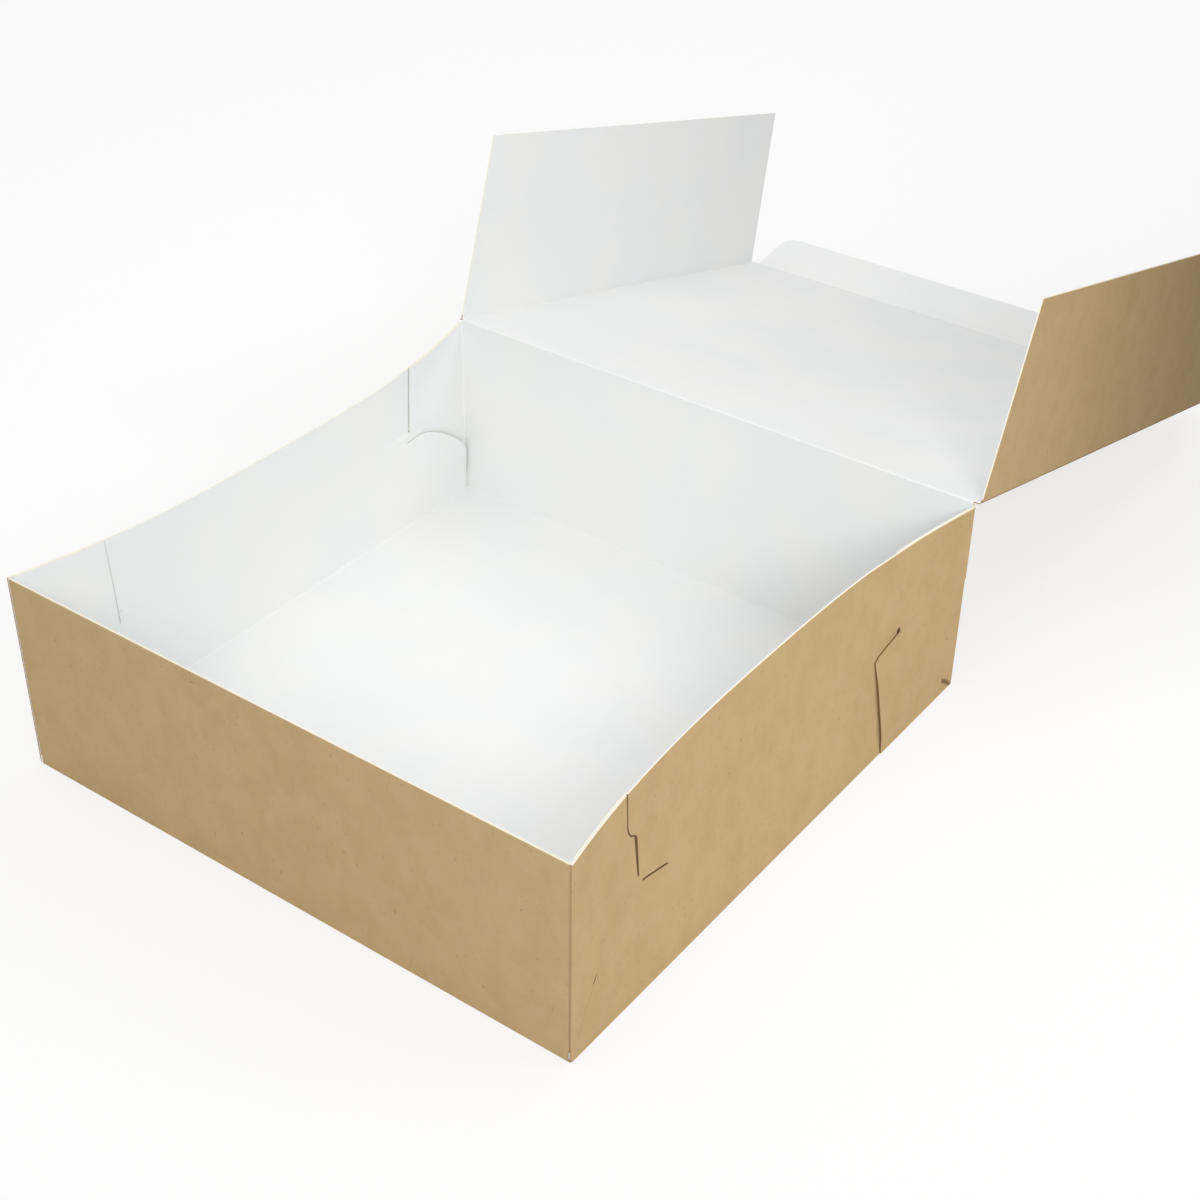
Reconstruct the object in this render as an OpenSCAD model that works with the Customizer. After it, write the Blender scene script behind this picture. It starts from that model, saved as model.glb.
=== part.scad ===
// A one-piece cake box of thin card, standing open.
// The tray is folded up and locked at its four corners. The lid hangs on the crease along
// the back wall, with a flap along each side and a tuck flap along the front.
// Origin: middle of the tray's underside. X to the right, Y to the back, Z up. Millimetres.

/* [Tray] */
// Outside width of the tray, left to right
tray_w = 305; // [150:1:450]
// Outside depth of the tray, front to back
tray_d = 305; // [150:1:450]
// Height of the back wall, up to the lid's crease
tray_h = 103; // [50:1:200]
// Thickness of the card
card = 0.6; // [0.3:0.1:2]
// Outside radius of the folds along the base and up the corners
fold_r = 1.0; // [0.7:0.1:3]
// How much lower the front and side walls stand than the back wall
wall_drop = 1.2; // [0.8:0.1:3]
// How far the top of the left wall bows inwards at its middle
left_bow = 14.6; // [0:0.2:25]
// How square the left wall's bow is: 2 is a parabola, more is flatter in the middle
left_bow_power = 3; // [2:0.1:5]
// How far the top of the right wall bows inwards at its middle
right_bow = 12.8; // [0:0.2:25]
// How square the right wall's bow is
right_bow_power = 2.5; // [2:0.1:5]

/* [Corner locks] */
// Air between two layers of card in a locked corner
layer_gap = 0.1; // [0.05:0.05:0.5]
// Length of the back corner flap's upper part, which lies inside the side wall
back_flap_upper = 53; // [30:1:80]
// How much longer the upper part is along its top edge
back_flap_upper_lean = 3; // [0:0.5:10]
// Length of the back corner flap's lower part, which lies outside the side wall
back_flap_lower = 73.5; // [50:0.5:110]
// How much shorter the lower part is along its bottom edge
back_flap_lower_lean = 5; // [0:0.5:15]
// Height at which the back corner flap passes through the side wall
back_lock_z = 59.5; // [40:0.5:75]
// Fall of the edge between the two parts of the back corner flap
back_lock_fall = 4.5; // [2:0.5:12]
// Length of the curved end of the side wall's tongue, inside the back corner
tongue_l = 40; // [15:1:48]
// Fall of the tongue's curved end
tongue_fall = 29; // [10:1:40]
// Length of the front corner flap along its top edge
front_flap_upper = 45.5; // [30:1:70]
// How much longer the front corner flap is at its hook
front_flap_lean = 5; // [0:0.5:10]
// Distance of the front slit from the front corner, along the top edge
front_slit_y = 43.6; // [25:0.2:60]
// How much nearer to the corner the front slit comes before its step
front_slit_lean = 1.2; // [0:0.2:4]
// Sideways step in the front slit
front_slit_step = 4.6; // [2:0.2:8]
// Height at which the front slit's step ends
front_slit_step_z = 80; // [65:1:95]
// Height of the curve into the step
front_slit_curve = 6; // [2:0.5:12]
// Height at which the front slit ends
front_slit_end_z = 59; // [40:1:70]
// Width of the gaping part of the front slit, just under the step
front_slit_gape = 2.2; // [1:0.1:4]
// Length of the short slit beside the end of the front slit
short_slit_l = 19; // [8:1:30]
// Length of the nick above the end of the front corner flap's lower edge
nick_l = 5; // [2:0.5:10]
// Width of the slits
slit_w = 1.0; // [0.4:0.1:2]
// Size of the small hole at the foot of each back corner
corner_hole = 4; // [1:0.5:8]

/* [Lid] */
// How far the open lid hangs below level, in degrees
lid_drop = 14.4; // [0:0.1:18]
// Room between the tray's side wall and the side flap that closes outside it
side_clear = 0.5; // [0.3:0.1:2]
// Room between the front wall and the tuck flap that closes inside it
tuck_clear = 0.5; // [0.3:0.1:2]
// Room between the back wall and the lid's crease
hinge_clear = 0.35; // [0.2:0.05:1]
// Height of the lid's crease above the back wall
hinge_rise = 0.3; // [0.2:0.05:1]
// Room under the two side flaps when the lid is closed
side_flap_gap = 7; // [2:0.5:60]
// How much each end of a side flap slopes in over its height
side_flap_taper = 6; // [0:0.5:20]
// Gap between each end of a side flap and the end of its crease
side_flap_inset = 2; // [0.5:0.5:10]
// Angle of the left flap from flat, in degrees
left_flap_angle = 90; // [0:0.5:175]
// Angle of the right flap from flat, in degrees
right_flap_angle = 88.5; // [0:0.5:175]
// Length of the tuck flap along the front of the lid
tuck_l = 35; // [15:1:60]
// Radius of the tuck flap's two outer corners
tuck_r = 9; // [2:1:20]
// Gap between each end of the tuck flap and the end of its crease
tuck_inset = 4.5; // [1:0.5:15]
// Angle of the tuck flap from flat, in degrees
tuck_angle = 24; // [0:0.5:95]

/* [View] */
// Node to build

/* [Hidden] */
$fn = 64;
kraft_colour = [0.70, 0.57, 0.38];
half_w = tray_w / 2;
half_d = tray_d / 2;
wall_h = tray_h - wall_drop;
// One layer of card and the air beside it
layer = card + layer_gap;
// Half the width of the base, on which the side walls stand
base_half_w = half_w - 2 * layer;
// The back corner flaps turn one layer outside the side walls, the front ones one layer inside
back_flap_x = base_half_w + layer;
front_flap_x = base_half_w - layer;
// Open end of the slot through which a back corner flap passes the side wall
pass_w = 2;
slot_y = half_d - back_flap_upper - pass_w;
// Length and height over which a side wall steps out over a back corner flap, as the flap steps in
step_l = 26;
step_z = 3;
slot_z = back_lock_z + step_z;
// Tongue of the side wall below the slot, clear of the fold up the corner
tongue_z = back_lock_z - back_lock_fall;
tongue_y = half_d - 2 * fold_r;
// How full the tongue's curved end is: 1 is straight, 2 an ellipse
tongue_power = 1.3;
tongue_steps = 24;
// Bottom of the corner flaps, clear of the fold along the base
back_flap_z = fold_r + 0.6;
front_flap_z = fold_r + 4.5;
// Cut corner of the back corner flap's lower part
back_flap_cut = [3, 2];
// Hook of the front corner flap: how far it stands out, and its heights
hook_l = 3;
hook_z = front_slit_end_z - 6;
slit_steps = 8;
hook_end_z = hook_z - 2;
// Bend in the lower edge of the front corner flap
front_flap_bend = [15, 30];
// Place and turn of the short slit from the end of the front slit
short_slit_gap = 4;
short_slit_turn = -14;
// Slope of the nick
nick_turn = 55;
// Slack when a row's place is compared with a limit
row_slack = 0.01;
// Depth of the cutters, half of it to each side of the wall
cut_depth = 60;
// The pivots lie on the white inside of the card
crease_gap = 0.05;
hinge_y = half_d + hinge_clear;
hinge_z = tray_h + hinge_rise;
side_flap_h = hinge_z - side_flap_gap;
crease_x = half_w + side_clear;
lid_l = hinge_y + half_d - 2 * card - tuck_clear;
over = 1;

function smooth(t) = let (c = min(1, max(0, t))) c * c * (3 - 2 * c);
// Angle at which a side wall leans in at y, for a bow of that size and power
function lean(y, bow, power) =
    asin(bow / wall_h * (1 - pow(min(1, abs(y) / (half_d - fold_r)), power)));
// Height at which the back corner flap starts to step in: above the tongue, clear of the wall
function step_in_z(y) = back_lock_z
    - back_lock_fall * smooth((y - half_d + back_flap_upper) / (back_flap_upper - tongue_l));
// 0 at the open end of the slot, 1 at the back corner
function to_corner(y) = smooth((y - slot_y) / (half_d - fold_r - slot_y));
// How far a side wall stands out over the back corner flap, at height s up the card
function wall_out(y, s) = layer
    * smooth((y - slot_y + step_l) / step_l)
    * smooth((s + fold_r - back_lock_z) / step_z)
    * (1 + to_corner(y));
// How far the back corner flap lies out: a layer below the slot, and inside the wall above it
function flap_out(y, s) = layer
    * (1 - smooth((s + fold_r - step_in_z(y)) / (slot_z - step_in_z(y))) * (1 - to_corner(y)));
// Where a point of the card lies: s up the wall at y, and out from the upright of the base's edge
function on_wall(y, s, out, bow, power) =
    [base_half_w + out - s * sin(lean(y, bow, power)), y, fold_r + s * cos(lean(y, bow, power))];
// Values from one to the other in that many equal steps, without the first
function steps_to(from, to, steps) = [for (i = [1 : steps]) from * (1 - i / steps) + to * i / steps];
// Rows along the side wall and up it, the same for every layer so that their facets are parallel
wall_ys = concat(
    [-half_d, fold_r - half_d],
    steps_to(fold_r - half_d, slot_y - step_l, 20),
    steps_to(slot_y - step_l, slot_y, 5),
    steps_to(slot_y, half_d - fold_r, 8),
    [half_d]);
wall_ss = concat(
    [0],
    steps_to(0, tongue_z - fold_r, 3),
    steps_to(tongue_z - fold_r, back_lock_z - fold_r, 3),
    steps_to(back_lock_z - fold_r, slot_z - fold_r, 2),
    steps_to(slot_z - fold_r, wall_h - fold_r, 2));

// A sheet that follows the side wall, from outer[i][j] to inner[i][j], row by row
module sheet(outer, inner) {
    rows = len(outer);
    cols = len(outer[0]);
    count = rows * cols;
    points = concat([for (row = outer) each row], [for (row = inner) each row]);
    outside = [for (i = [0 : rows - 2], j = [0 : cols - 2]) each [
        [i * cols + j, i * cols + j + 1, (i + 1) * cols + j],
        [i * cols + j + 1, (i + 1) * cols + j + 1, (i + 1) * cols + j]]];
    inside = [for (f = outside) [f[0] + count, f[2] + count, f[1] + count]];
    rim = concat(
        [for (j = [0 : cols - 1]) j],
        [for (i = [1 : rows - 1]) i * cols + cols - 1],
        [for (j = [cols - 2 : -1 : 0]) (rows - 1) * cols + j],
        [for (i = [rows - 2 : -1 : 1]) i * cols]);
    edge = [for (k = [0 : len(rim) - 1]) let (a = rim[k], b = rim[(k + 1) % len(rim)]) each [
        [b, a, a + count], [b, a + count, b + count]]];
    polyhedron(points = points, faces = concat(outside, inside, edge), convexity = 6);
}

// Card that follows the right wall from one y to the other. It lies out from the wall, and also
// as far as the wall does at the crossing, or as far as the back corner flap does.
module wall_card(from, to, bow, power, out = 0, as_wall = 0, as_flap = 0) {
    outer = [for (y = wall_ys) if (y > from - row_slack && y < to + row_slack)
        [for (s = wall_ss) on_wall(y, s,
            out + as_wall * wall_out(y, s) + as_flap * flap_out(y, s), bow, power)]];
    inner = [for (row = outer) [for (point = row) point - [card, 0, 0]]];
    sheet(outer, inner);
}

// A cutter with the outline of its children, drawn as y across and z up, right through the wall
module through_wall() {
    translate([half_w - cut_depth / 2, 0, 0])
        rotate([90, 0, 90])
            linear_extrude(cut_depth)
                children();
}

// Outline of the back corner flap, reaching past its fold
module back_flap_outline() {
    lower = half_d - back_flap_lower;
    upper = half_d - back_flap_upper;
    polygon([
        [half_d, back_flap_z + corner_hole + fold_r],
        [half_d - fold_r - corner_hole, back_flap_z],
        [lower + back_flap_lower_lean, back_flap_z],
        [lower, tongue_z - back_flap_cut[1]],
        [lower + back_flap_cut[0], tongue_z],
        [upper, back_lock_z],
        [upper - back_flap_upper_lean, wall_h + over],
        [half_d, wall_h + over]]);
}

// Outline of the front corner flap, reaching past its fold, with the hook at its end
module front_flap_outline() {
    upper = front_flap_upper - half_d;
    polygon([
        [-half_d, front_flap_z],
        [front_flap_bend[0] - half_d, front_flap_bend[1]],
        [upper + front_flap_lean - hook_l, hook_end_z],
        [upper + front_flap_lean, hook_z],
        [upper, wall_h + over],
        [-half_d, wall_h + over]]);
}

// What is cut out of the side wall at the back: the slot above its tongue
module back_slot() {
    curve = [for (i = [0 : tongue_steps]) let (u = i / tongue_steps) [
        tongue_y - tongue_l * (1 - u),
        tongue_z - tongue_fall * (1 - pow(1 - pow(u, tongue_power), 1 / tongue_power))]];
    polygon(concat(
        [[slot_y, tongue_z]],
        curve,
        [[tongue_y, -over], [half_d + over, -over], [half_d + over, slot_z], [slot_y, slot_z]]));
}

// What is cut out of the side wall at the front: the stepped slit, the short one and the nick
module front_slits() {
    top = front_slit_y - half_d;
    low = top - front_slit_lean + front_slit_step;
    half = slit_w / 2;
    polygon(concat(
        [[top - half, wall_h + over]],
        slit_curve(low, half),
        [[low, front_slit_end_z], [low + half, front_slit_end_z]],
        [[low + front_slit_gape, front_slit_step_z + half]],
        [for (i = [slit_steps : -1 : 0]) slit_curve(low, -half)[i]],
        [[top + half, wall_h + over]]));
    translate([low + short_slit_gap, front_slit_end_z - short_slit_gap])
        rotate(short_slit_turn)
            square([short_slit_l, slit_w]);
    translate([front_flap_bend[0] - half_d, front_flap_bend[1]])
        rotate(nick_turn)
            square([nick_l, half]);
}

// The curve into the front slit's step, which ends at y = low, widened outwards by a margin
function slit_curve(low, margin) = [for (i = [0 : slit_steps]) let (turn = 90 * i / slit_steps) [
    low - (front_slit_step + margin) * cos(turn),
    front_slit_step_z + front_slit_curve - (front_slit_curve + margin) * sin(turn)]];

// The right wall with its fold and its two corner flaps; the left one is its mirror image
module side(bow, power) {
    fold = half_d - fold_r;
    difference() {
        wall_card(-half_d, half_d, bow, power, as_wall = 1);
        through_wall() back_slot();
        through_wall() front_slits();
    }
    intersection() {
        wall_card(half_d - back_flap_lower - step_l, fold, bow, power, as_flap = 1);
        through_wall() back_flap_outline();
    }
    intersection() {
        wall_card(-fold, 2 * front_flap_upper - half_d, bow, power, -layer);
        through_wall() front_flap_outline();
    }
    base_fold();
    corner_fold(back_flap_x, fold, 0, back_flap_z + corner_hole);
    corner_fold(front_flap_x, -fold, -90, front_flap_z);
}

// A quarter turn of card about the origin, from +X to +Y
module quarter() {
    intersection() {
        difference() {
            circle(fold_r);
            circle(fold_r - card);
        }
        square(fold_r);
    }
}

// The fold between the base and the right wall
module base_fold() {
    translate([base_half_w - fold_r, half_d - fold_r, fold_r])
        rotate([90, 0, 0])
            linear_extrude(tray_d - 2 * fold_r)
                rotate(-90)
                    quarter();
}

// The upright fold between the front or back wall and its corner flap
module corner_fold(x, y, turn, bottom) {
    translate([x - fold_r, y, bottom])
        linear_extrude(wall_h - bottom)
            rotate(turn)
                quarter();
}

// Base, front wall and back wall: one strip of card with two folds
module strip() {
    run = half_d - fold_r;
    translate([-base_half_w + fold_r, -run, 0])
        cube([2 * (base_half_w - fold_r), 2 * run, card]);
    strip_wall(front_flap_x - fold_r, wall_h);
    mirror([0, 1, 0])
        strip_wall(back_flap_x - fold_r, tray_h);
}

// The front wall, half_l to each side and up to top, with its fold; the back wall mirrors it
module strip_wall(half_l, top) {
    translate([-half_l, -half_d, fold_r])
        cube([2 * half_l, card, top - fold_r]);
    translate([-base_half_w + fold_r, -half_d + fold_r, fold_r])
        rotate([90, 0, 90])
            linear_extrude(2 * (base_half_w - fold_r))
                rotate(180)
                    quarter();
}

module tray() {
    color(kraft_colour) {
        strip();
        side(right_bow, right_bow_power);
        mirror([1, 0, 0])
            side(left_bow, left_bow_power);
    }
}

// Puts its children on the open lid: X across, Y away from the hinge, Z up from the white side
module on_lid() {
    translate([0, hinge_y, hinge_z])
        rotate([-lid_drop, 0, 0])
            children();
}

module lid() {
    color(kraft_colour)
        on_lid()
            translate([-crease_x + crease_gap, crease_gap, -card])
                cube([2 * (crease_x - crease_gap), lid_l - 2 * crease_gap, card]);
}

// A side flap lying flat, its crease on the Y axis, reaching to the right
module side_flap() {
    near = side_flap_inset;
    far = lid_l - side_flap_inset;
    translate([0, 0, -card])
        linear_extrude(card)
            polygon([
                [crease_gap, near],
                [side_flap_h, near + side_flap_taper],
                [side_flap_h, far - side_flap_taper],
                [crease_gap, far]]);
}

module left_flap() {
    color(kraft_colour)
        on_lid()
            translate([-crease_x, 0, 0])
                rotate([0, left_flap_angle, 0])
                    mirror([1, 0, 0])
                        side_flap();
}

module right_flap() {
    color(kraft_colour)
        on_lid()
            translate([crease_x, 0, 0])
                rotate([0, -right_flap_angle, 0])
                    side_flap();
}

// The tuck flap along the front of the lid, with two rounded corners
module tuck_flap() {
    half = crease_x - tuck_inset;
    color(kraft_colour)
        on_lid()
            translate([0, lid_l, 0])
                rotate([tuck_angle, 0, 0])
                    translate([0, 0, -card])
                        linear_extrude(card)
                            union() {
                                translate([-half, crease_gap])
                                    square([2 * half, tuck_l - tuck_r]);
                                translate([-half + tuck_r, crease_gap])
                                    square([2 * (half - tuck_r), tuck_l]);
                                for (side = [-1, 1]) {
                                    translate([side * (half - tuck_r), crease_gap + tuck_l - tuck_r])
                                        circle(tuck_r);
                                }
                            }
}

tray();
lid();
left_flap();
right_flap();
tuck_flap();
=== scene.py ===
import math

import bpy
import numpy as np
from mathutils import Matrix


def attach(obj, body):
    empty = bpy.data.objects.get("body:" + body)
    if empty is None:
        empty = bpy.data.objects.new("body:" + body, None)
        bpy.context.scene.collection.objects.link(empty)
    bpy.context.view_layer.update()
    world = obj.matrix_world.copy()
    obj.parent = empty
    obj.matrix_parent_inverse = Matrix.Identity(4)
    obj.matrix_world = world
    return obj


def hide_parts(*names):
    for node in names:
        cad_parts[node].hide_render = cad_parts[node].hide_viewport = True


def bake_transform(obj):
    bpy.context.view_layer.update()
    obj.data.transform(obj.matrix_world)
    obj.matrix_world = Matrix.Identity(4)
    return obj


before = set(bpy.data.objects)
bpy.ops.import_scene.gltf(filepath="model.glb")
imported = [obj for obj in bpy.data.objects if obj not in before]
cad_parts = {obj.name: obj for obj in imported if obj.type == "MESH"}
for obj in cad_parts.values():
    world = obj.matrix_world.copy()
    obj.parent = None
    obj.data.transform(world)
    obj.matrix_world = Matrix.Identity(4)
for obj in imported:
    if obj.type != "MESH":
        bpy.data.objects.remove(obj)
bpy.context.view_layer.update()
print("frame loaded")

# Sizes are millimetres, as in the part's source. X right, Y to the back, Z up.

card = 0.6  # thickness of the card
weld = {"perMm": 400, "shift": 0.137}  # points that round to the same place are one point
slotNames = ["kraft", "white", "cutEdge", "slit", "innerEdge", "rawEdge", "lapEdge"]
# A top edge is level within the first, and lies at most the second below the side walls' top.
# An edge this close to a crease isn't worn.
rimRules = {"level": 0.3, "top": 1.3, "crease": 1.6}
slack = 0.01  # when a row's place is compared with a limit

tray = {
    "width": 305.0,
    "depth": 305.0,
    "height": 103.0,
    "wallDrop": 1.2,  # front and side walls stand this much lower than the back wall
    "fold": 1.0,  # outside radius of every fold
    "gap": 0.1,  # air between two layers of card
    "bow": {"left": 14.6, "right": 12.8},  # how far the side walls' top edges bow in
    "bowPower": {"left": 3.0, "right": 2.5},
}
halfW = tray["width"] / 2
halfD = tray["depth"] / 2
wallTop = tray["height"] - tray["wallDrop"]
fold = tray["fold"]
layer = card + tray["gap"]
baseHalf = halfW - 2 * layer
foldY = halfD - fold


def smooth(t):
    t = np.clip(t, 0, 1)
    return t * t * (3 - 2 * t)


# A patch is a grid between two upright sides and two level ones. Across it a point goes in a
# straight line from the left side to the right, and up it from the low side to the high one.
def patch(us, vs, left, right, low, high):
    u = np.asarray(us)[:, None]
    v = np.asarray(vs)[None, :]
    ones = np.ones((u.shape[0], v.shape[1]))
    across = (1 - u) * left * ones + u * right * ones
    up = (1 - v) * np.reshape(low, (-1, 1)) * ones + v * np.reshape(high, (-1, 1)) * ones
    return across, up


def spread(*stops):
    # start, then pairs of end and number of steps
    values = [stops[0]]
    for end, steps in zip(stops[1::2], stops[2::2]):
        values += list(np.linspace(values[-1], end, steps + 1)[1:])
    return np.array(values)


def share(values):
    # the same values, from 0 to 1
    values = np.asarray(values, float)
    return (values - values[0]) / (values[-1] - values[0])


# A patch of card has a kraft side and a white side, each a grid of points, and names the
# material of its cut edges. Painted shade darkens it point by point, on both sides unless the
# white side has its own.
def sheet(kraftGrid, whiteGrid, edge="cutEdge", shade=0.0, whiteShade=None):
    ones = np.ones(kraftGrid.shape[:2])
    shades = np.stack([shade * ones, (shade if whiteShade is None else whiteShade) * ones], -1)
    return {"kraft": kraftGrid, "white": whiteGrid, "edge": edge, "shade": shades}


# One piece of card from such patches. Patches that meet are joined. The cut edge runs round every
# open side, from one face of the card to the other, and the points on it are marked as worn, but
# not beside a crease: a point and a way along it.
def cardPiece(name, patches, body, nodes, top=None, creases=()):
    kraftSide = np.concatenate([p["kraft"].reshape(-1, 3) for p in patches])
    whiteSide = np.concatenate([p["white"].reshape(-1, 3) for p in patches])
    quads, edgeSlots, start = [], [], 0
    for p in patches:
        rows, cols = p["kraft"].shape[:2]
        index = start + np.arange(rows * cols).reshape(rows, cols)
        around = [index[:-1, :-1], index[1:, :-1], index[1:, 1:], index[:-1, 1:]]
        cell = np.stack(around, -1).reshape(-1, 4)
        quads.append(cell)
        edgeSlots += [slotNames.index(p["edge"])] * len(cell)
        start += rows * cols
    keys = np.round(np.hstack([kraftSide, whiteSide]) * weld["perMm"] + weld["shift"])
    _, first, index = np.unique(keys, axis=0, return_index=True, return_inverse=True)
    index = index.reshape(-1)
    shade = np.zeros((len(first), 2))
    np.maximum.at(shade, index, np.concatenate([p["shade"].reshape(-1, 2) for p in patches]))
    quads = index[np.concatenate(quads)]
    kraftSide, whiteSide = kraftSide[first], whiteSide[first]
    count = len(kraftSide)
    a = quads.reshape(-1)
    b = np.roll(quads, -1, axis=1).reshape(-1)
    onRim = ~np.isin(a * count + b, b * count + a)
    rimSlots = np.repeat(edgeSlots, 4)[onRim]
    a, b = a[onRim], b[onRim]
    if top is not None:
        level = np.abs(kraftSide[a, 2] - kraftSide[b, 2]) < rimRules["level"]
        onTop = (kraftSide[a, 2] > top) & (kraftSide[b, 2] > top) & level
        rimSlots = np.where(onTop, slotNames.index("cutEdge"), rimSlots)
    for pivot, way in creases:
        way = np.array(way) / np.linalg.norm(way)
        close = np.linalg.norm(np.cross(kraftSide - pivot, way), axis=1) < rimRules["crease"]
        rimSlots = np.where(close[a] & close[b], slotNames.index("rawEdge"), rimSlots)
    rim = np.stack([b, a, a + count, b + count], -1)
    faces = np.concatenate([quads, quads[:, ::-1] + count, rim])
    faceSlots = np.repeat([slotNames.index("kraft"), slotNames.index("white")], len(quads))
    slots = np.concatenate([faceSlots, rimSlots])
    points = np.concatenate([kraftSide, whiteSide]) / 1000
    worn = np.zeros(count)
    pale = rimSlots == slotNames.index("cutEdge")
    if top is not None:
        pale &= onTop
    worn[a[pale]] = worn[b[pale]] = 1

    mesh = bpy.data.meshes.new(name)
    mesh.from_pydata(points.tolist(), [], faces.tolist())
    mesh.update(calc_edges=True)
    mesh.shade_smooth()
    ends = np.empty(len(mesh.edges) * 2, int)
    mesh.edges.foreach_get("vertices", ends)
    ends = np.sort(ends.reshape(-1, 2), axis=1)
    pairs = np.sort(np.stack([a, b], -1), axis=1)
    rimKeys = [(pairs[:, 0] + face) * 2 * count + pairs[:, 1] + face for face in (0, count)]
    sharp = np.isin(ends[:, 0] * 2 * count + ends[:, 1], np.concatenate(rimKeys))
    mesh.edges.foreach_set("use_edge_sharp", sharp)
    mesh.polygons.foreach_set("material_index", slots)
    for key, values in (("worn", np.tile(worn, 2)), ("shade", shade.T.reshape(-1))):
        mesh.attributes.new(key, "FLOAT", "POINT").data.foreach_set("value", values)
    for slotName in slotNames:
        mesh.materials.append(cardMaterials[slotName])
    piece = bpy.data.objects.new(name, mesh)
    bpy.context.scene.collection.objects.link(piece)
    if body:
        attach(piece, body)
    if nodes:
        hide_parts(*nodes)
    print(name, len(faces), "faces", int(onRim.sum()), "edge faces")
    return piece


# Shader maths

class Wire:
    def __init__(self, tree, socket):
        self.tree = tree
        self.socket = socket

    def plain(self, operation, *values):
        node = self.tree.nodes.new("ShaderNodeMath")
        node.operation = operation
        for place, value in zip(node.inputs, values):
            self.tree.fill(place, value)
        return Wire(self.tree, node.outputs[0])

    def __add__(self, other):
        return self.plain("ADD", self, other)

    def __sub__(self, other):
        return self.plain("SUBTRACT", self, other)

    def __mul__(self, other):
        return self.plain("MULTIPLY", self, other)

    def __rsub__(self, other):
        return self.plain("SUBTRACT", other, self)

    __radd__ = __add__

    def over(self, low, high):
        # 0 at low, 1 at high, eased
        return self.tree.ease(self, low, high)


class Shader:
    def __init__(self, name):
        self.material = bpy.data.materials.new(name)
        self.material.use_nodes = True
        self.nodes = self.material.node_tree.nodes
        self.links = self.material.node_tree.links
        self.nodes.clear()
        self.output = self.nodes.new("ShaderNodeOutputMaterial")

    def fill(self, place, value):
        # an input takes a link or a value
        if isinstance(value, Wire):
            self.links.new(value.socket, place)
        else:
            place.default_value = value

    # Any node from its type, its settings, the outlet to use, and the values or links of its
    # inputs, which go by name or, as i and a number, by place
    def node(self, kind, settings=None, outlet=0, **inputs):
        node = self.nodes.new("ShaderNode" + kind)
        for key, value in (settings or {}).items():
            setattr(node, key, value)
        for key, value in inputs.items():
            byPlace = key[0] == "i" and key[1:].isdigit()
            self.fill(node.inputs[int(key[1:]) if byPlace else key.replace("_", " ")], value)
        return Wire(self, node.outputs[outlet])

    def ease(self, wire, low, high):
        settings = {"interpolation_type": "SMOOTHSTEP"}
        return self.node("MapRange", settings, Value=wire, From_Min=low, From_Max=high)

    def place(self, scale=(1, 1, 1), turn=(0, 0, 0)):
        # the object's own coordinates in metres, stretched
        where = self.node("TexCoord", outlet=3)
        return self.node("Mapping", Vector=where, Scale=scale, Rotation=turn)

    def given(self, name):
        # a value kept with the mesh's points
        return self.node("Attribute", {"attribute_name": name}, outlet=2)

    def noise(self, vector, scale, detail, rough):
        return self.node("TexNoise", Vector=vector, Scale=scale, Detail=detail, Roughness=rough)

    def mix(self, factor, first, second):
        # of two colours
        return self.node("Mix", {"data_type": "RGBA"}, 2, i0=factor, i6=first, i7=second)

    def bump(self, height, distance, strength, normal=None):
        extra = {"Normal": normal} if normal else {}
        return self.node("Bump", Height=height, Distance=distance, Strength=strength, **extra)

    def finish(self, **sockets):
        surface = self.node("BsdfPrincipled", **sockets)
        self.links.new(surface.socket, self.output.inputs[0])
        return self.material


def colour(red, green, blue):
    # a colour as a picture shows it, 0 to 255, made linear
    values = [v / 255 for v in (red, green, blue)]
    return tuple(v / 12.92 if v < 0.04045 else ((v + 0.055) / 1.055) ** 2.4 for v in values) + (1,)


kraft = {
    "base": colour(193, 166, 121),
    "warm": colour(196, 165, 123),
    "green": colour(189, 163, 113),
    "dark": colour(183, 155, 109),
    "fibre": colour(150, 120, 78),
    "worn": colour(244, 231, 204),
    # slit: dark rims of cuts, painted shade as inside a narrow slit
    "slit": colour(118, 92, 52),
    # shade: colour of the painted shade, mixed in where the points' shade is high
    "shade": colour(112, 84, 50),
}
liner = {
    "base": colour(243, 243, 241),
    "cool": colour(240, 242, 242),
    # edge: grey of the inner cut edges, painted shade of the line beside them
    "edge": colour(222, 222, 218),
    # shade: colour of the painted shade on the white side
    "shade": colour(176, 176, 172),
    "cut": colour(250, 245, 232),
}


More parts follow.
